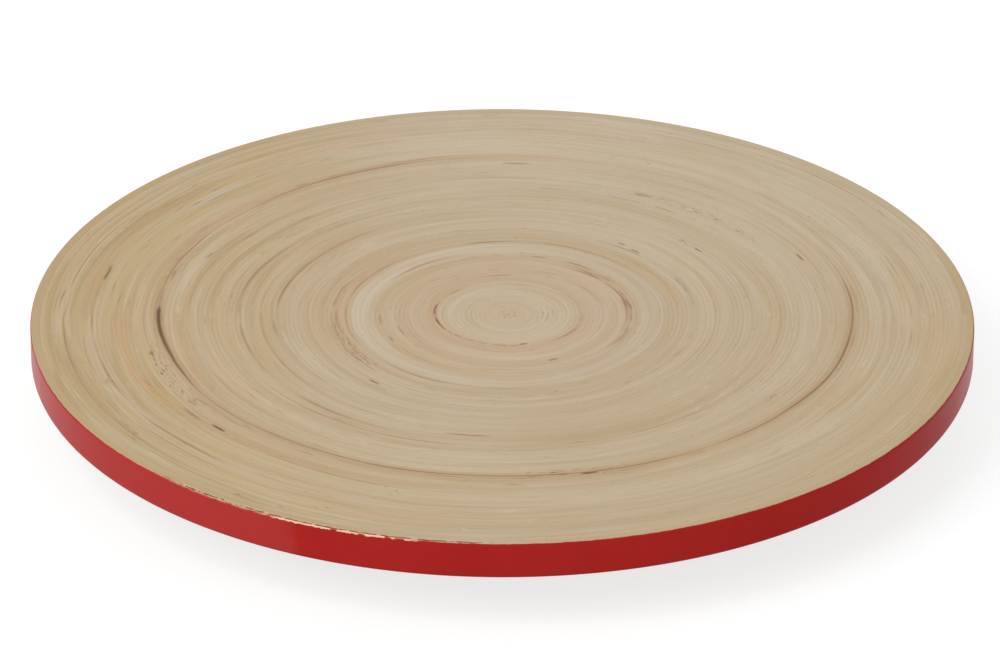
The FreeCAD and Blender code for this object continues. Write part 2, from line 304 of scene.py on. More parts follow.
def edge_strip(material):
    """The strip round the rim. Its inner side follows the winding, and its two ends butt together."""
    skin = Skin()
    first_section = rim_profile(0.0, STRIP_ENDS[-1] * DISC_RADIUS)
    lengths = [math.dist(a, b) for a, b in zip(first_section, first_section[1:])]
    reach = [sum(lengths[:i]) / sum(lengths) for i in range(len(lengths) + 1)] + [1.0]
    count = len(first_section)
    for step in range(RIM_STEPS + 1):
        angle = TURN * step / RIM_STEPS
        inner = STRIP_ENDS[-1] * DISC_RADIUS - STRIP_THICKNESS * (0.5 - step / RIM_STEPS)
        skin.add_points((eye_shift(radius) + radius * math.cos(angle), radius * math.sin(angle), height)
                        for radius, height in rim_profile(angle, inner))
    per_segment = RIM_STEPS // RIM_SEGMENTS

    def shown(segment, along, across):
        return (along / per_segment, (segment + RIM_MARGIN + (1 - 2 * RIM_MARGIN) * across) / RIM_SEGMENTS)

    for step in range(RIM_STEPS):
        segment, along = divmod(step, per_segment)
        for corner in range(count):
            following = (corner + 1) % count
            hidden = corner == count - 1
            low, high = RIM_HIDDEN if hidden else (RIM_SEEN * reach[corner], RIM_SEEN * reach[corner + 1])
            skin.add_face(
                [step * count + corner, step * count + following,
                 (step + 1) * count + following, (step + 1) * count + corner],
                [shown(segment, along, low), shown(segment, along, high),
                 shown(segment, along + 1, high), shown(segment, along + 1, low)], flat=hidden)
    for step, order in ((0, -1), (RIM_STEPS, 1)):
        corners = [step * count + corner for corner in range(count)]
        places = [(RIM_END_MIDDLE[0] + RIM_END_WIDTH * math.cos(TURN * corner / count),
                   RIM_END_MIDDLE[1] + RIM_END_HEIGHT * math.sin(TURN * corner / count))
                  for corner in range(count)]
        skin.add_face(corners[::order], places[::order], flat=True)
    skin.piece("edge_strip_and_lacquer", "turntable", material, "edge_strip", "red_lacquer_bamboo")


# --- Node trees ---

def paint(red, green, blue):
    """A display colour from 0 to 255 as the linear colour that a shader takes."""
    def linear(value):
        share = value / 255
        return share / 12.92 if share <= 0.04045 else ((share + 0.055) / 1.055) ** 2.4
    return (linear(red), linear(green), linear(blue), 1.0)


class Graph:
    """Short calls that add nodes to a tree. A value may be a number, a colour or another node's output."""

    def __init__(self, tree):
        self.tree = tree

    def feed(self, socket, value):
        if isinstance(value, bpy.types.NodeSocket):
            self.tree.links.new(value, socket)
        else:
            socket.default_value = value

    def node(self, kind, inputs=None, **settings):
        node = self.tree.nodes.new("ShaderNode" + kind)
        for key, value in settings.items():
            setattr(node, key, value)
        for key, value in (inputs or {}).items():
            self.feed(node.inputs[key], value)
        return node

    def math(self, operation, *values):
        node = self.node("Math", operation=operation)
        for socket, value in zip(node.inputs, values):
            self.feed(socket, value)
        return node.outputs[0]

    def add(self, *values):
        total = values[0]
        for value in values[1:]:
            total = self.math("ADD", total, value)
        return total

    def sub(self, a, b):
        return self.math("SUBTRACT", a, b)

    def mul(self, *values):
        product = values[0]
        for value in values[1:]:
            product = self.math("MULTIPLY", product, value)
        return product

    def smooth(self, value, low, high, start=0.0, end=1.0):
        """From start to end as the value goes from low to high, softly. low may be the higher."""
        if isinstance(low, (int, float)) and isinstance(high, (int, float)) and low > high:
            low, high, start, end = high, low, end, start
        node = self.node("MapRange", {"Value": value, "From Min": low, "From Max": high, "To Min": start,
                                      "To Max": end}, interpolation_type="SMOOTHSTEP", clamp=False)
        return node.outputs["Result"]

    def place(self, x, y, z=0.0):
        return self.node("CombineXYZ", {"X": x, "Y": y, "Z": z}).outputs[0]

    def noise(self, place, detail=2.0, roughness=0.5, scale=1.0):
        node = self.node("TexNoise", {"Vector": place, "Scale": scale, "Detail": detail,
                                      "Roughness": roughness})
        return node.outputs["Fac"]

    def mix(self, share, a, b):
        node = self.node("Mix", {"Factor": share}, data_type="RGBA")
        self.feed(node.inputs[6], a)
        self.feed(node.inputs[7], b)
        return node.outputs[2]

    def ramp(self, value, stops):
        node = self.node("ValToRGB", {"Fac": value})
        elements = node.color_ramp.elements
        for place, _ in stops[2:]:
            elements.new(place)
        for element, (place, colour) in zip(elements, sorted(stops)):
            element.position, element.color = place, colour
        return node.outputs["Color"]

    def lighten(self, colour, amount):
        """The colour times one plus the amount."""
        node = self.node("HueSaturation", {"Color": colour, "Value": self.add(amount, 1.0)})
        return node.outputs["Color"]

    def object_place(self):
        """The shaded point's own x, y and z in millimetres."""
        split = self.node("SeparateXYZ", {"Vector": self.node("TexCoord").outputs["Object"]})
        return [self.mul(split.outputs[axis], 1 / MM) for axis in "XYZ"]


def new_material(name):
    """A material with an empty principled shader, and its graph."""
    material = bpy.data.materials.new(name)
    material.use_nodes = True
    graph = Graph(material.node_tree)
    shader = next(n for n in material.node_tree.nodes if n.type == "BSDF_PRINCIPLED")
    return material, graph, shader


# --- Wound bamboo ---

PALE = paint(199, 186, 162)
OCHRE = paint(181, 155, 110)
PINK = paint(195, 161, 133)
TAN_BROWN = paint(165, 134, 94)
BROWN = paint(132, 92, 55)
RED_BROWN = paint(142, 90, 62)
DARK = paint(90, 56, 24)
ORANGE = paint(196, 146, 92)
SCRATCH = paint(214, 204, 182)


class Winding:
    """Where a shaded point lies in the wound disc, in millimetres, and patterns that follow its turns."""

    def __init__(self, g):
        self.g = g
        thickness = STRIP_THICKNESS / MM
        self.rim = DISC_RADIUS / MM
        self.x, self.y, self.z = g.object_place()
        from_axis = g.math("SQRT", g.add(g.mul(self.x, self.x), g.mul(self.y, self.y)))
        shift = g.mul(g.math("SUBTRACT", 1.0, g.mul(from_axis, 1 / self.rim)), WINDING_DRIFT / MM)
        from_eye = g.sub(self.x, shift)
        self.radius = g.math("SQRT", g.add(g.mul(from_eye, from_eye), g.mul(self.y, self.y)))
        self.angle = g.math("ARCTAN2", self.y, from_eye)

        # The turn that it is on, how far across that turn from its inner seam, and how far along the strip
        part_turn = g.math("FRACT", g.add(g.mul(self.angle, 1 / TURN), 1.0))
        turns = g.sub(g.sub(g.mul(self.radius, 1 / thickness), part_turn), 0.5)
        self.across = g.math("FRACT", turns)
        along = g.add(g.math("FLOOR", turns), part_turn)
        self.run = g.mul(along, along, math.pi * thickness)
        self.from_seam = g.math("MINIMUM", self.across, g.math("SUBTRACT", 1.0, self.across))

        # The radius as the wood shows it: the layers wander a little from the seams
        wander = g.add(g.mul(g.sub(self.cloud(55, 3.1), 0.5), 2.4),
                       g.mul(g.sub(self.cloud(14, 8.4), 0.5), 0.5))
        self.layer = g.add(self.radius, g.mul(wander, g.smooth(self.radius, 3.0, 22.0, 0.2, 1.0)))

    def cloud(self, size, seed, detail=1.0):
        """Soft patches of this size, from 0 to 1, which pay no heed to the turns."""
        place = self.g.place(self.g.mul(self.x, 1 / size), self.g.mul(self.y, 1 / size), seed)
        return self.g.noise(place, detail)

    def streak(self, length, pitch, seed, detail=1.0, roughness=0.5):
        """Streaks along the layers, this long and this far apart, mostly from -1 to 1."""
        g = self.g
        spot = g.place(g.mul(self.x, 1 / length), g.mul(self.y, 1 / length),
                       g.add(g.mul(self.layer, 1 / pitch), seed))
        return g.mul(g.sub(g.noise(spot, detail, roughness), 0.5), 4.0)

    def edge_streak(self, length, pitch, seed):
        """Streaks from 0 to 1 that start at a sharp edge and fade away on the other side."""
        wave = self.streak(length, pitch, seed)
        return self.g.mul(self.g.smooth(wave, -0.02, 0.24), self.g.smooth(wave, 1.25, 0.10))

    def thin_line(self, length, pitch, seed, width):
        """Lines from 0 to 1 that wander along the layers."""
        return self.g.smooth(self.g.math("ABSOLUTE", self.streak(length, pitch, seed)), width, width * 0.2)

    def dashes(self, length, width, seed, threshold):
        """Short marks from 0 to 1 along the layers."""
        g = self.g
        spot = g.place(g.mul(self.x, 1 / length), g.mul(self.y, 1 / length),
                       g.add(g.mul(self.layer, 1 / width), seed))
        return g.smooth(g.noise(spot, 1.0), threshold, threshold + 0.05)

    def towards(self, degrees, spread):
        """1 where the angle is near this one, fading to 0 at spread degrees from it."""
        apart = self.g.math("COSINE", self.g.sub(self.angle, math.radians(degrees)))
        return self.g.smooth(apart, math.cos(math.radians(spread)), 1.0)

    def stretches(self, *places):
        """The sum of strengths towards several angles. Each is an angle, a spread and a strength."""
        return self.g.add(*(self.g.mul(self.towards(degrees, spread), strength)
                            for degrees, spread, strength in places))

    def ring(self, share, width):
        """1 on a circle at this share of the rim's radius, fading to 0 this many millimetres away."""
        at = self.g.mul(share, self.rim) if isinstance(share, bpy.types.NodeSocket) else share * self.rim
        return self.g.smooth(self.g.math("ABSOLUTE", self.g.sub(self.layer, at)), width, width * 0.2)

    def zone(self, inner, outer, soft=2.0):
        """1 between two shares of the radius, with soft edges this many millimetres wide."""
        g = self.g
        return g.mul(g.smooth(self.layer, inner * self.rim - soft, inner * self.rim + soft),
                     g.smooth(self.layer, outer * self.rim + soft, outer * self.rim - soft))


def warm_left(g, w):
    """1 at the left of the disc, where the colour is made yellower and warmer, to 0 at the right."""
    return g.smooth(g.add(w.x, g.mul(w.streak(200, 16.0, 2.2), 40)), 30, -150)


def coloured_layers(g, w, colour, left):
    """Adds pink, gold and grey layers, the pink ones weaker to the right."""
    pinkness = g.add(g.mul(left, 0.45), 0.55)
    colour = g.mix(g.mul(g.smooth(w.streak(60, 5.5, 77.7, 2.0), 0.15, 1.1), pinkness, 0.46), colour, PINK)
    colour = g.mix(g.mul(g.smooth(w.streak(80, 3.6, 93.1, 2.0), 0.15, 1.0), 0.50), colour, OCHRE)
    colour = g.mix(g.mul(g.smooth(w.streak(70, 2.8, 41.3, 2.0), 0.2, 1.1), 0.44), colour, PALE)
    return g.mix(g.mul(g.smooth(w.streak(34, 1.5, 19.4), 0.3, 1.2), pinkness, 0.16), colour, PINK)


def wound_bamboo_group():
    """A node group that colours spun bamboo by where a point lies in the winding."""
    group = bpy.data.node_groups.new("wound_bamboo", "ShaderNodeTree")
    for name, kind in (("Colour", "NodeSocketColor"), ("Roughness", "NodeSocketFloat"),
                       ("Height", "NodeSocketFloat")):
        group.interface.new_socket(name, in_out="OUTPUT", socket_type=kind)
    g = Graph(group)
    out = group.nodes.new("NodeGroupOutput")
    w = Winding(g)

    # Tone from the eye to the rim
    colour = g.ramp(g.mul(w.layer, 1 / w.rim), [
        (0.0, paint(191, 168, 140)), (1.0, paint(183, 163, 131)),
        (0.02, paint(192, 173, 144)), (0.125, paint(193, 176, 147)), (0.155, paint(186, 163, 132)),
        (0.20, paint(190, 169, 140)), (0.245, paint(189, 167, 137)), (0.275, paint(187, 165, 134)),
        (0.292, paint(191, 173, 145)), (0.328, paint(191, 173, 145)), (0.342, paint(184, 164, 132)),
        (0.44, paint(189, 171, 141)), (0.57, paint(184, 164, 131)), (0.65, paint(190, 173, 143)),
        (0.72, paint(185, 163, 130)), (0.82, paint(190, 172, 141)),
    ])

    # Yellower and warmer to the left, greyer to the right, with patches of each
    left = warm_left(g, w)
    colour = g.mix(g.mul(left, 0.50), colour, OCHRE)
    warm = g.mul(g.smooth(w.streak(110, 20.0, 71.0), -0.1, 1.0), g.add(g.mul(left, 0.40), 0.08))
    colour = g.mix(warm, colour, PINK)
    # Painted sheen: a pale veil over the outer part of the face towards the back and the right
    painted_sheen = g.mul(g.smooth(w.cloud(75, 21.0), 0.30, 0.65), g.smooth(w.x, -110, 40),
                 g.smooth(w.layer, 95, 150), g.smooth(w.y, -90, 60))
    colour = g.mix(g.mul(painted_sheen, 0.60), colour, PALE)
    # The pale rows towards the back, at 75 and 68 degrees, are painted sheen as well
    sides = (  # from and to this share of the radius, towards, spread, tint, strength
        (0.36, 0.74, 75, 80, PALE, 0.26), (0.72, 1.10, 68, 62, PALE, 0.34),
        (0.36, 0.72, 240, 45, PALE, 0.30), (0.76, 1.10, 152, 40, OCHRE, 0.30),
        (0.84, 1.10, 350, 40, OCHRE, 0.36),
    )
    for inner, outer, degrees, spread, tint, strength in sides:
        colour = g.mix(g.mul(w.zone(inner, outer, 8.0), w.towards(degrees, spread), strength), colour, tint)

    colour = coloured_layers(g, w, colour, left)

    # Layers with one firm side, strongest on the left
    calm_core = g.smooth(w.layer, 22, 32, 0.45, 1.0)
    busy = g.mul(g.add(0.42, g.mul(left, 0.60), g.mul(w.streak(90, 24.0, 88.0), 0.25)), calm_core)
    colour = g.mix(g.mul(w.edge_streak(170, 5.0, 61.0), busy, 0.30), colour, TAN_BROWN)
    colour = g.mix(g.mul(w.edge_streak(110, 2.6, 67.0), busy, 0.24), colour, TAN_BROWN)
    colour = g.mix(g.mul(w.edge_streak(150, 3.8, 73.0), busy, 0.30), colour, PALE)

    # Light and dark turns, and the skin side of each turn darker than its pith side
    own_tone = g.mul(g.sub(g.noise(g.place(g.mul(w.run, 1 / 80), g.mul(w.across, 0.7), 4.4)), 0.5), 4.0)
    skin_side = g.mul(g.sub(w.across, 0.5), g.smooth(w.streak(90, 7.0, 33.0), -0.4, 1.2))
    fibres = w.streak(20, 0.5, 57.3, 3.0, 0.6)
    tone = g.add(g.mul(w.streak(230, 11.0, 1.7), 0.013), g.mul(w.streak(130, 4.3, 15.2), 0.023),
                 g.mul(w.streak(48, 1.6, 31.9), 0.020), g.mul(fibres, 0.020), g.mul(own_tone, 0.018),
                 g.mul(skin_side, -0.055))
    colour = g.lighten(colour, g.mul(tone, g.add(g.mul(calm_core, 0.45), 0.32, g.mul(busy, 0.42))))

    # Seams between the turns, dark here and there, and broken lines that follow a turn for a while
    seam = g.smooth(w.from_seam, 0.13, 0.0)
    seam_shows = g.smooth(w.streak(40, 2.6, 12.8), 0.1, 1.2)
    colour = g.mix(g.mul(seam, g.add(g.mul(seam_shows, 0.38), 0.05)), colour, BROWN)
    long_line = g.mul(w.thin_line(80, 3.6, 63.0, 0.07), g.smooth(w.streak(28, 9.0, 7.9), 0.1, 0.9), busy)
    colour = g.mix(g.mul(long_line, 0.55), colour, BROWN)
    fine_line = g.mul(w.thin_line(40, 1.9, 83.0, 0.08), g.smooth(w.streak(16, 6.0, 47.9), 0.2, 0.9), busy)
    colour = g.mix(g.mul(fine_line, 0.44), colour, BROWN)
    pale_line = g.mul(w.thin_line(50, 2.3, 29.0, 0.09), g.smooth(w.streak(18, 8.0, 51.9), 0.3, 1.0))
    colour = g.mix(g.mul(pale_line, 0.55), colour, PALE)

    # The pale strip, widest and whitest at the left and the back, and thin brown stripes where it thins out
    pale_ring = g.mul(w.zone(0.288, 0.332, 1.3), g.add(0.10, g.mul(w.towards(160, 135), 0.95)))
    colour = g.mix(g.mul(pale_ring, g.smooth(w.streak(60, 3.0, 6.6), -1.1, 0.5), 0.66), colour, PALE)
    stripes = g.mul(w.zone(0.270, 0.385, 2.0), w.towards(3, 75),
                    g.smooth(w.streak(70, 1.15, 23.0), 0.0, 0.9))
    colour = g.mix(g.mul(stripes, 0.48), colour, TAN_BROWN)

    # Red-brown and brown lines where the skin of a strip shows
    broken = g.smooth(w.streak(9, 5.0, 5.5), -0.2, 0.7)
    gently_broken = g.smooth(w.streak(28, 12.0, 25.5), -0.7, 0.6)
    frayed = g.smooth(w.streak(14, 1.2, 3.3), -0.2, 0.9)
    marks = (  # share of the radius, half width in mm, tint, strength, towards, spread, broken by
        (0.160, 4.0, PINK, 0.50, 255, 130, gently_broken),
        (0.182, 0.8, RED_BROWN, 0.60, 106, 22, gently_broken),
        (0.205, 3.0, RED_BROWN, 0.30, 90, 100, frayed), (0.262, 3.2, RED_BROWN, 0.80, 20, 62, frayed),
        (0.262, 0.9, RED_BROWN, 0.45, 8, 30, broken), (0.276, 0.8, RED_BROWN, 0.60, 85, 60, broken),
        (0.294, 0.9, RED_BROWN, 0.55, 127, 26, gently_broken),
        (0.240, 0.7, RED_BROWN, 0.45, 205, 60, broken), (0.272, 0.7, RED_BROWN, 0.50, 205, 40, broken),
        (0.343, 0.7, BROWN, 0.70, 120, 110, gently_broken),
        (0.336, 0.6, RED_BROWN, 0.60, 248, 36, gently_broken),
        (0.350, 1.6, PINK, 0.65, 185, 60, gently_broken), (0.368, 2.6, RED_BROWN, 0.55, 200, 75, frayed),
        (0.362, 1.3, ORANGE, 0.34, 20, 60, frayed), (0.400, 0.7, BROWN, 0.40, 20, 80, broken),
        (0.445, 0.6, BROWN, 0.35, 340, 60, gently_broken),
        (0.485, 0.7, BROWN, 0.60, 185, 75, gently_broken),
        (0.520, 1.0, TAN_BROWN, 0.60, 180, 90, gently_broken),
        (0.565, 0.9, BROWN, 0.60, 190, 80, gently_broken),
        (0.590, 0.6, BROWN, 0.45, 275, 75, gently_broken), (0.605, 0.6, BROWN, 0.40, 60, 60, broken),
        (0.790, 0.7, BROWN, 0.35, 235, 40, gently_broken), (0.867, 0.45, BROWN, 0.65, 5, 20, gently_broken),
        (0.870, 0.8, BROWN, 0.50, 205, 45, gently_broken),
        (0.895, 0.6, BROWN, 0.45, 225, 40, gently_broken),
        (0.930, 0.55, BROWN, 0.50, 185, 45, gently_broken),
        (0.955, 0.7, BROWN, 0.30, 60, 50, gently_broken),
    )
    for share, width, tint, strength, degrees, spread, how_broken in marks:
        shown = g.mul(w.ring(share, width), w.towards(degrees, spread), how_broken, strength)
        colour = g.mix(shown, colour, tint)

    # The red-brown line round the core, which isn't quite round
    oval = g.math("COSINE", g.mul(g.sub(w.angle, math.radians(165)), 2.0))
    core_line = g.add(g.mul(oval, 0.008), 0.149)
    core_shows = w.stretches((162, 42, 1.0), (208, 42, 0.8), (262, 30, 0.7), (332, 36, 0.6), (60, 50, 0.25))
    core_shows = g.mul(core_shows, g.smooth(w.streak(13, 7.0, 5.5), -0.9, 0.3),
                       g.smooth(w.streak(3.5, 1.0, 8.1), -1.0, 0.4))
    colour = g.mix(g.mul(w.ring(core_line, 2.6), core_shows, 0.40), colour, PINK)
    colour = g.mix(g.mul(w.ring(core_line, 0.80), core_shows, 0.88), colour, RED_BROWN)

    # An orange glow outside the dark seam on the left
    glow = g.mul(w.zone(0.79, 0.83, 3.0), w.towards(195, 24), g.smooth(w.streak(30, 3.0, 8.0), -1.0, 0.8))
    colour = g.mix(g.mul(glow, 0.42), colour, ORANGE)

    # The seam three quarters of the way out. It wavers, shows in stretches, and starts thick at the left
    waver = g.add(g.mul(g.math("SINE", w.angle), 0.019), g.mul(g.math("COSINE", w.angle), 0.004), 0.7350)
    shows = w.stretches((343, 42, 0.90), (115, 24, 0.65), (165, 20, 0.45), (225, 42, 0.50), (277, 40, 0.60))
    shows = g.mul(g.math("MINIMUM", g.add(shows, 0.16), 1.0), g.smooth(w.streak(34, 20.0, 2.2), -1.5, 0.3))
    colour = g.mix(g.mul(w.ring(waver, 3.6), shows, 0.44), colour, TAN_BROWN)
    colour = g.mix(g.mul(w.ring(waver, 0.62), shows, 0.85), colour, BROWN)
    second = g.mul(w.ring(g.add(waver, 0.0095), 0.6),
                   w.stretches((277, 40, 0.60), (115, 26, 0.75), (350, 30, 0.35)))
    colour = g.mix(g.mul(second, frayed), colour, RED_BROWN)
    round_angle = g.mul(g.math("FRACT", g.add(g.mul(w.angle, 1 / TURN), 1.0)), 360)
    taper = g.mul(g.smooth(round_angle, 176, 179), g.smooth(round_angle, 222, 184))
    knot_width = g.add(0.30, g.mul(taper, 0.85))
    knot_apart = g.math("ABSOLUTE", g.sub(w.layer, g.mul(waver, w.rim)))
    knot = g.mul(g.smooth(g.math("DIVIDE", knot_apart, knot_width), 1.0, 0.25), taper)
    colour = g.mix(g.mul(w.ring(waver, 2.4), taper, 0.45), colour, TAN_BROWN)
    colour = g.mix(g.mul(knot, 0.86), colour, DARK)

    # Short marks of skin and pores
    speck_where = g.smooth(w.cloud(26, 55.0), 0.40, 0.62)
    colour = g.mix(g.mul(w.dashes(3.2, 0.50, 0.0, 0.735), speck_where, 0.80), colour, RED_BROWN)
    colour = g.mix(g.mul(w.dashes(2.0, 0.45, 7.0, 0.755), 0.85), colour, BROWN)
    rows = (  # from and to this share of the radius, towards, spread
        (0.742, 0.770, 202, 15), (0.352, 0.378, 205, 22), (0.630, 0.652, 48, 19), (0.508, 0.520, 39, 9),
        (0.700, 0.722, 281, 12), (0.664, 0.676, 328, 6),
    )
    dash_row = g.add(*(g.mul(w.zone(inner, outer, 1.0), w.towards(degrees, spread))
                       for inner, outer, degrees, spread in rows))
    colour = g.mix(g.mul(w.dashes(4.2, 0.45, 11.0, 0.60), dash_row, 0.95), colour, RED_BROWN)
    flecks = (  # share of the radius, half width in mm, tint, strength, towards, half length in degrees
        (0.866, 0.9, DARK, 0.60, 167.5, 2.6), (0.779, 0.9, DARK, 0.85, 221.0, 1.9),
        (0.785, 0.5, DARK, 0.55, 215, 3.0), (0.690, 0.7, DARK, 0.65, 23.0, 1.8),
        (0.722, 0.9, RED_BROWN, 0.60, 88.0, 3.0), (0.722, 0.9, DARK, 0.75, 284.0, 1.8),
        (0.412, 0.8, DARK, 0.65, 228.0, 2.4), (0.408, 0.7, DARK, 0.65, 47.0, 2.2),
        (0.415, 0.6, DARK, 0.55, 53.0, 1.6), (0.545, 0.8, RED_BROWN, 0.65, 262, 6.0),
        (0.225, 0.8, RED_BROWN, 0.75, 295.0, 3.4), (0.139, 0.6, DARK, 0.80, 283.0, 4.5),
        (0.640, 0.7, DARK, 0.55, 62.0, 2.5), (0.650, 0.8, PINK, 0.60, 240.0, 6.0),
    )
    for share, width, tint, strength, degrees, half_length in flecks:
        colour = g.mix(g.mul(w.ring(share, width), w.towards(degrees, half_length), strength), colour, tint)
    scratches = g.add(g.mul(w.zone(0.40, 0.60, 4.0), w.towards(322, 15)), 0.25)
    colour = g.mix(g.mul(w.dashes(6.0, 0.50, 31.0, 0.665), scratches, 0.50), colour, SCRATCH)
    ripple = g.smooth(g.math("SINE", g.mul(w.layer, 3.1)), 0.2, 1.0)
    ripple = g.mul(ripple, w.zone(0.06, 0.10, 1.0), w.towards(0, 26),
                   g.smooth(w.cloud(3.0, 9.0), 0.35, 0.6))
    colour = g.mix(g.mul(ripple, 0.26), colour, BROWN)

    # Small reddish curls at the eye
    bent_radius = g.add(w.radius, g.mul(g.sub(w.cloud(1.6, 40.0), 0.5), 2.4))
    curl = g.math("ABSOLUTE", g.math("SINE", g.mul(bent_radius, 2.4)))
    curl = g.mul(g.smooth(curl, 0.55, 0.05), g.smooth(w.radius, 4.8, 2.4),
                 g.smooth(w.cloud(1.2, 14.0), 0.35, 0.6))
    colour = g.mix(g.mul(curl, 0.85), colour, RED_BROWN)

    gloss = g.add(g.mul(w.streak(60, 4.3, 15.2), 0.03), g.mul(fibres, 0.04), 0.48)
    height = g.add(g.mul(fibres, 0.6), g.mul(own_tone, 0.4), g.mul(seam, -1.2))
    for name, value in (("Colour", colour), ("Roughness", gloss), ("Height", height)):
        g.feed(out.inputs[name], value)
    return group


def bump(g, shader, height, distance, strength=1.0):
    node = g.node("Bump", {"Height": height, "Distance": distance, "Strength": strength})
    g.feed(shader.inputs["Normal"], node.outputs["Normal"])


def natural_bamboo():
    """Sanded and clear-sealed edge grain."""
    material, g, shader = new_material("natural_bamboo")
    wood = g.tree.nodes.new("ShaderNodeGroup")
    wood.node_tree = wound_bamboo_group()
    g.feed(shader.inputs["Base Color"], wood.outputs["Colour"])
    g.feed(shader.inputs["Roughness"], wood.outputs["Roughness"])
    shader.inputs["Specular IOR Level"].default_value = 0.12
    bump(g, shader, wood.outputs["Height"], 0.012 * MM)
    return material


LACQUER_RED = (0.388, 0.0168, 0.0132, 1.0)
LACQUER_RED_THIN = (0.370, 0.0148, 0.0120, 1.0)
# A lighter, pinker red that paints the reflection of the lit table in the lacquer
LACQUER_PAINTED_REFLECTION = (0.412, 0.0330, 0.0300, 1.0)
LACQUER_SHEEN = (1.0, 0.66, 0.66, 1.0)
PAINTED_REFLECTION_END = -115.0         # the angle, in degrees, where the painted reflection on the lacquer ends at the front
EDGE_WOOD = paint(183, 163, 131)
OLD_RED = paint(120, 48, 36)
PRIMER = paint(226, 190, 164)


def bare_edge(g, w, fibres):
    """The colour of the wood beside the rim: the same layers as in the disc next to it."""
    left = warm_left(g, w)
    colour = g.mix(g.mul(left, 0.50), EDGE_WOOD, OCHRE)
    # The pale towards 68 degrees is painted sheen, as on the disc next to it
    for degrees, spread, tint, strength in (
            (68, 62, PALE, 0.34), (152, 40, OCHRE, 0.30), (350, 40, OCHRE, 0.36)):
        colour = g.mix(g.mul(w.towards(degrees, spread), strength), colour, tint)
    colour = coloured_layers(g, w, colour, left)
    tone = g.add(g.mul(w.streak(130, 4.3, 15.2), 0.023), g.mul(w.streak(48, 1.6, 31.9), 0.020),
                 g.mul(fibres, 0.020))
    return g.lighten(colour, tone)


def rim_lacquer():
    """The edge strip: bare bamboo on top and below, and gloss lacquer outside with a ragged, chipped end."""
    material, g, shader = new_material("red_lacquer_bamboo")
    w = Winding(g)
    fibres = w.streak(20, 0.5, 57.3, 3.0, 0.6)
    inside = g.math("SUBTRACT", w.rim, g.math("SQRT", g.add(g.mul(w.x, w.x), g.mul(w.y, w.y))))

    def spots(length, seed, detail=2.0):
        place = g.place(g.mul(w.x, 1 / length), g.mul(w.y, 1 / length), g.add(g.mul(w.z, 1 / length), seed))
        return g.noise(place, detail)

    def band(value, middle, half_width, soft=0.06):
        apart = g.math("ABSOLUTE", g.sub(value, middle))
        return g.smooth(apart, half_width + soft, half_width - soft)

    # How far from the rim the lacquer reaches in over the edge
    ragged = g.add(g.mul(g.sub(spots(6, 1.0), 0.5), 0.34), g.mul(g.sub(spots(1.4, 5.0), 0.5), 0.26))
    wrap = g.add(0.36, ragged)
    upper = g.smooth(w.z, DISC_TOP / MM - 5, DISC_TOP / MM - 4)
    wrap = g.add(g.mul(wrap, upper), g.mul(g.math("SUBTRACT", 1.0, upper), 1.2))
    lacquered = g.smooth(g.sub(inside, wrap), 0.03, -0.03)

    # Chips along the front left of the upper edge, which show the primer, and lines of old lacquer inside
    wobble = g.add(inside, g.mul(g.sub(spots(3.0, 2.0), 0.5), 0.8),
                   g.mul(g.sub(spots(0.9, 12.0), 0.5), 0.35))
    chipped = g.mul(w.stretches((251, 11, 1.7), (238, 14, 0.2)), g.smooth(spots(3.2, 9.0), 0.34, 0.46))
    drop = g.math("SUBTRACT", DISC_TOP / MM, w.z)
    near_edge = g.smooth(g.add(drop, g.mul(g.sub(spots(1.2, 2.0), 0.5), 0.8)), 0.58, 0.46)
    chip = g.mul(g.math("MINIMUM", chipped, 1.0), near_edge, g.smooth(wobble, 0.70, 0.60), upper)
    worn = g.mul(g.math("MINIMUM", w.stretches((252, 20, 1.8), (236, 12, 1.2)), 1.0), upper)
    dark_lines = g.mul(band(wobble, 0.92, 0.34), g.smooth(spots(3.4, 31.0), 0.38, 0.48))
    pale_lines = g.mul(band(wobble, 1.42, 0.20), g.smooth(spots(3.8, 51.0), 0.42, 0.52))

    red = g.mix(g.smooth(spots(30, 3.0), 0.3, 0.7), LACQUER_RED, LACQUER_RED_THIN)
    # Painted reflection: the lacquer at the left front is made lighter and pinker, ending sharply towards the
    # front
    end_angle = g.add(g.mul(w.angle, 180 / math.pi), g.mul(spots(9, 33.0), 3.0))
    painted_sheen = g.smooth(end_angle, PAINTED_REFLECTION_END + 3.0, PAINTED_REFLECTION_END)
    painted_sheen = g.mul(painted_sheen, w.towards(215, 62), g.add(0.8, g.mul(spots(14, 21.0), 0.4)))
    red = g.mix(g.math("MINIMUM", painted_sheen, 1.0), red, LACQUER_PAINTED_REFLECTION)
    colour = g.mix(lacquered, bare_edge(g, w, fibres), red)
    colour = g.mix(chip, colour, PRIMER)
    colour = g.mix(g.mul(pale_lines, worn, 0.85), colour, PRIMER)
    colour = g.mix(g.mul(dark_lines, worn, 0.92), colour, OLD_RED)
    g.feed(shader.inputs["Base Color"], colour)
    film = g.mul(lacquered, g.math("SUBTRACT", 1.0, chip))
    smear = g.mul(g.sub(spots(9, 44.0), 0.5), 0.08)
    g.feed(shader.inputs["Roughness"], g.add(g.mul(film, -0.18), 0.48, smear))
    shader.inputs["Specular IOR Level"].default_value = 0.05
    shader.inputs["Specular Tint"].default_value = LACQUER_SHEEN
    orange_peel = g.mul(g.sub(spots(2.5, 17.0, 1.0), 0.5), film)
    grain = g.mul(fibres, g.math("SUBTRACT", 1.0, film))
    height = g.add(g.mul(orange_peel, 0.35), g.mul(film, 3.0), g.mul(grain, 0.3))
    bump(g, shader, height, 0.02 * MM)
    return material


# --- The other finishes ---

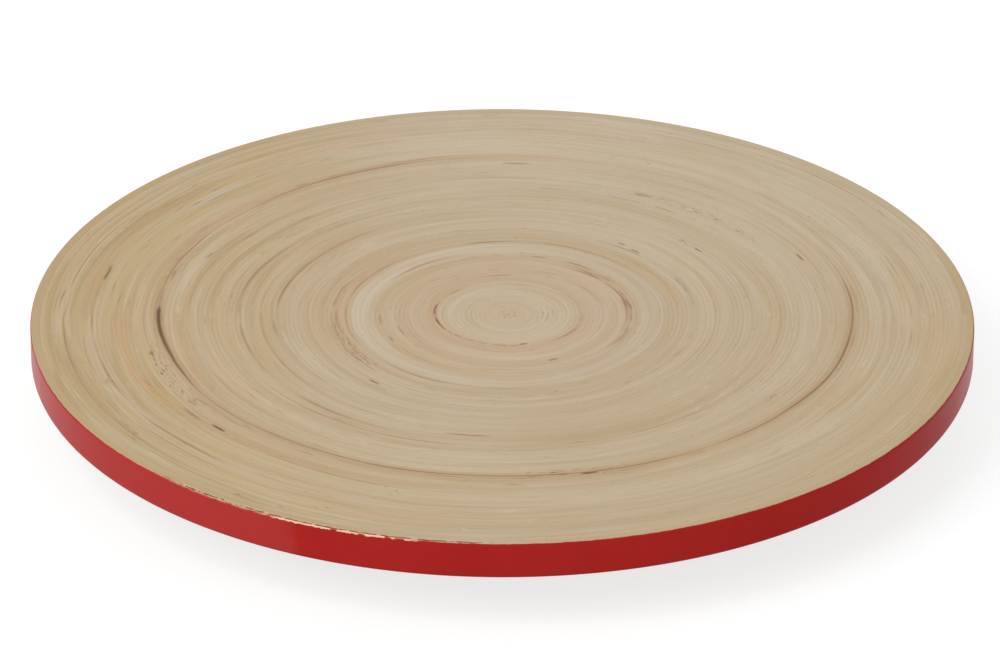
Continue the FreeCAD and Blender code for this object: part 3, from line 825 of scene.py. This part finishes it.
def board_bamboo():
    """Laminated bamboo board: straight staves side by side, each with its own tone and fine fibres."""
    material, g, shader = new_material("board_bamboo")
    stave = 19.0
    x, y, z = g.object_place()
    number = g.math("FLOOR", g.mul(y, 1 / stave))
    across = g.math("FRACT", g.mul(y, 1 / stave))
    joint = g.smooth(g.math("MINIMUM", across, g.math("SUBTRACT", 1.0, across)), 0.018, 0.0)
    own = g.noise(g.place(g.mul(number, 7.7), g.mul(x, 1 / 260), 1.0), 0.0)
    grain = g.noise(g.place(g.mul(x, 1 / 55), g.mul(y, 1 / 0.9), g.mul(z, 1 / 0.9)), 3.0, 0.6)
    fibre = g.noise(g.place(g.mul(x, 1 / 14), g.mul(y, 1 / 0.3), g.mul(z, 1 / 0.3)), 2.0, 0.6)
    knuckle_at = g.math("FRACT", g.add(g.mul(x, 1 / 170), g.mul(number, 0.37)))
    knuckle = g.smooth(g.math("ABSOLUTE", g.sub(knuckle_at, 0.5)), 0.016, 0.004)
    colour = g.mix(g.smooth(own, 0.3, 0.7), paint(187, 163, 128), paint(200, 181, 150))
    colour = g.lighten(colour, g.add(g.mul(g.sub(grain, 0.5), 0.22), g.mul(g.sub(fibre, 0.5), 0.12)))
    colour = g.mix(g.mul(knuckle, 0.45), colour, BROWN)
    colour = g.mix(g.mul(joint, 0.45), colour, BROWN)
    g.feed(shader.inputs["Base Color"], colour)
    g.feed(shader.inputs["Roughness"], g.add(0.44, g.mul(g.sub(grain, 0.5), 0.2)))
    shader.inputs["Specular IOR Level"].default_value = 0.35
    bump(g, shader, g.add(fibre, g.mul(grain, 0.6), g.mul(joint, -0.8)), 0.03 * MM)
    return material


def turned_metal(name, tint, mark_pitch, roughness, polish):
    """Metal with fine lathe marks round the turning axis and faint smudges."""
    material, g, shader = new_material(name)
    x, y, z = g.object_place()
    radius = g.math("SQRT", g.add(g.mul(x, x), g.mul(y, y)))
    over_marks = g.add(g.mul(radius, 1 / mark_pitch), g.mul(z, 1 / mark_pitch))
    marks = g.noise(g.place(g.mul(x, 1 / 60), g.mul(y, 1 / 60), over_marks), 2.0, 0.6)
    smudge = g.noise(g.place(g.mul(x, 1 / 9), g.mul(y, 1 / 9), g.mul(z, 1 / 9)), 3.0, 0.55)
    colour = g.mix(g.smooth(smudge, 0.35, 0.75), tint, tuple(c * 0.86 for c in tint[:3]) + (1.0,))
    colour = g.lighten(colour, g.mul(g.sub(marks, 0.5), 0.16))
    g.feed(shader.inputs["Base Color"], colour)
    g.feed(shader.inputs["Roughness"], g.add(roughness, g.mul(g.sub(smudge, 0.5), 0.16),
                                             g.mul(g.sub(marks, 0.5), 0.08)))
    shader.inputs["Metallic"].default_value = 1.0
    bump(g, shader, marks, polish)
    return material


def moulded(name, tint, worn, grain_size, roughness, grain_depth, specular):
    """Moulded rubber or plastic: a fine skin, slightly uneven colour and roughness that varies in patches."""
    material, g, shader = new_material(name)
    x, y, z = g.object_place()
    place = g.place(x, y, z)
    skin = g.noise(place, 2.0, 0.6, 1 / grain_size)
    cloud = g.noise(place, 2.0, 0.5, 1 / 6.0)
    colour = g.mix(g.smooth(cloud, 0.35, 0.75), tint, worn)
    colour = g.lighten(colour, g.mul(g.sub(skin, 0.5), 0.2))
    g.feed(shader.inputs["Base Color"], colour)
    g.feed(shader.inputs["Roughness"], g.add(roughness, g.mul(g.sub(cloud, 0.5), 0.18)))
    shader.inputs["Specular IOR Level"].default_value = specular
    bump(g, shader, skin, grain_depth)
    return material


def dress(material, *nodes):
    """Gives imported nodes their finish."""
    for name in nodes:
        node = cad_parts[name]
        node.data.materials.clear()
        node.data.materials.append(material)


# --- Stage, lights and camera ---

WHITE = (1.0, 1.0, 1.0, 1.0)
FLOOR_HALF = 30.0                       # half the table top's side
FLOOR_COLOUR = (0.78, 0.78, 0.78, 1.0)  # as it lights the object
FLOOR_SHADED = (0.30, 0.30, 0.30, 1.0)  # what takes the shadow where the floor is seen
FLOOR_GLOW = (0.76, 0.86)               # what makes it white there, near the object and far from it
DAYLIGHT = 0.53


def stage_floor():
    """A wide pale table top. The camera and reflections see it white, with the object's soft shadow."""
    half = FLOOR_HALF
    corners = [(-half, -half, 0), (half, -half, 0), (half, half, 0), (-half, half, 0)]
    mesh = bpy.data.meshes.new("table_top")
    mesh.from_pydata(corners, [], [(0, 1, 2, 3)])
    floor = bpy.data.objects.new("table_top", mesh)
    bpy.context.scene.collection.objects.link(floor)
    material = bpy.data.materials.new("table_top")
    material.use_nodes = True
    tree = material.node_tree
    tree.nodes.clear()
    g = Graph(tree)
    split = g.node("SeparateXYZ", {"Vector": g.node("TexCoord").outputs["Object"]})
    away = g.math("SQRT", g.add(g.mul(split.outputs["X"], split.outputs["X"]),
                                g.mul(split.outputs["Y"], split.outputs["Y"])))
    plain = g.node("BsdfDiffuse", {"Color": FLOOR_COLOUR})
    shaded = g.node("BsdfDiffuse", {"Color": FLOOR_SHADED})
    glow = g.node("Emission", {"Color": WHITE, "Strength": g.smooth(away, 0.5, 4.0, *FLOOR_GLOW)})
    white = g.node("AddShader")
    tree.links.new(shaded.outputs[0], white.inputs[0])
    tree.links.new(glow.outputs[0], white.inputs[1])
    choose = g.node("MixShader", {"Fac": seen_directly(g)})
    tree.links.new(plain.outputs[0], choose.inputs[1])
    tree.links.new(white.outputs[0], choose.inputs[2])
    out = g.node("OutputMaterial")
    tree.links.new(choose.outputs[0], out.inputs["Surface"])
    mesh.materials.append(material)


def seen_directly(g):
    """1 for a ray from the camera, or one that a mirror or glass sends on."""
    path = g.node("LightPath")
    return g.math("MAXIMUM", path.outputs["Is Camera Ray"],
                  g.math("MAXIMUM", path.outputs["Is Glossy Ray"], path.outputs["Is Transmission Ray"]))


def white_world():
    """Soft even light from all round, which shows as white where nothing stands in front of it."""
    world = bpy.data.worlds.new("studio")
    bpy.context.scene.world = world
    world.use_nodes = True
    tree = world.node_tree
    tree.nodes.clear()
    g = Graph(tree)
    light = g.node("Background", {"Color": WHITE, "Strength": DAYLIGHT})
    seen = g.node("Background", {"Color": WHITE, "Strength": 1.0})
    choose = g.node("MixShader", {"Fac": seen_directly(g)})
    tree.links.new(light.outputs[0], choose.inputs[1])
    tree.links.new(seen.outputs[0], choose.inputs[2])
    out = g.node("OutputWorld")
    tree.links.new(choose.outputs[0], out.inputs["Surface"])


def soft_box(name, place, aim, size, power):
    """A square studio lamp at a place, turned to shine at another."""
    lamp = bpy.data.lights.new(name, "AREA")
    lamp.shape = "SQUARE"
    lamp.size = size
    lamp.energy = power
    box = bpy.data.objects.new(name, lamp)
    box.location = place
    box.rotation_mode = "QUATERNION"
    box.rotation_quaternion = Vector(aim - place).to_track_quat("-Z", "Y")
    bpy.context.scene.collection.objects.link(box)


CAMERA_DISTANCE = 16 * DISC_RADIUS      # from the middle of the disc's top
CAMERA_ELEVATION = math.radians(27.43)
CAMERA_ROLL = math.radians(-0.10)
CAMERA_YAW = 0.0003                     # radians from straight at the middle
CAMERA_PITCH = -0.0025
LENS = 271.6                            # millimetres
SENSOR = 36.0


def camera():
    """Looks along +Y and down at the disc, from a distance that makes its perspective slight."""
    data = bpy.data.cameras.new("camera")
    data.sensor_width = SENSOR
    data.lens = LENS
    eye = bpy.data.objects.new("camera", data)
    bpy.context.scene.collection.objects.link(eye)
    back = Vector((0, -math.cos(CAMERA_ELEVATION), math.sin(CAMERA_ELEVATION)))
    right = Vector((1, 0, 0))
    up = back.cross(right)
    basis = Matrix((right, up, back)).transposed()
    for column, turn in ((1, CAMERA_YAW), (0, CAMERA_PITCH), (2, -CAMERA_ROLL)):
        basis = Matrix.Rotation(turn, 3, basis.col[column]) @ basis
    eye.location = Vector((0, 0, DISC_TOP)) + back * CAMERA_DISTANCE
    eye.rotation_mode = "QUATERNION"
    eye.rotation_quaternion = basis.to_quaternion()
    data.clip_start, data.clip_end = 0.1, 100
    bpy.context.scene.camera = eye


def lights():
    """A large soft key from the front left, a weak fill from the right and one from behind."""
    lamps = (  # name, azimuth and elevation in degrees, distance, size, how bright it makes a white face
        ("key", 226, 45, 3.5, 2.2, 0.59), ("fill", 305, 38, 3.5, 1.8, 0.06), ("back", 80, 50, 3.4, 2.4, 0.11),
    )
    middle = np.array((0, 0, DISC_TOP))
    for name, azimuth, elevation, distance, size, share in lamps:
        around, up = math.radians(azimuth), math.radians(elevation)
        way = np.array((math.cos(up) * math.cos(around), math.cos(up) * math.sin(around), math.sin(up)))
        soft_box(name, middle + way * distance, middle, size, share * math.pi ** 2 * distance ** 2)


def main():
    bpy.context.scene.view_settings.view_transform = "Standard"
    wound_strips(natural_bamboo())
    edge_strip(rim_lacquer())
    dress(board_bamboo(), "base_disc")
    dress(turned_metal("ring_aluminium", (0.72, 0.73, 0.74, 1.0), 0.16, 0.34, 0.010 * MM),
          "bearing_outer_ring", "bearing_inner_ring")
    dress(turned_metal("zinc_steel", (0.62, 0.63, 0.66, 1.0), 0.25, 0.30, 0.006 * MM),
          "outer_ring_screws", "inner_ring_screws", "foot_screws", "foot_washers", "ball_filler_plug")
    dress(turned_metal("polished_steel", (0.74, 0.74, 0.76, 1.0), 0.40, 0.12, 0.002 * MM), "bearing_balls")
    dress(moulded("white_nylon", paint(226, 222, 210), paint(214, 208, 192), 0.25, 0.50, 0.01 * MM, 0.4),
          "ball_retainer")
    dress(moulded("black_rubber", paint(46, 45, 44), paint(60, 58, 56), 0.35, 0.72, 0.03 * MM, 0.3),
          *[f"rubber_foot_{number}" for number in range(1, 5)])
    stage_floor()
    white_world()
    lights()
    camera()


main()
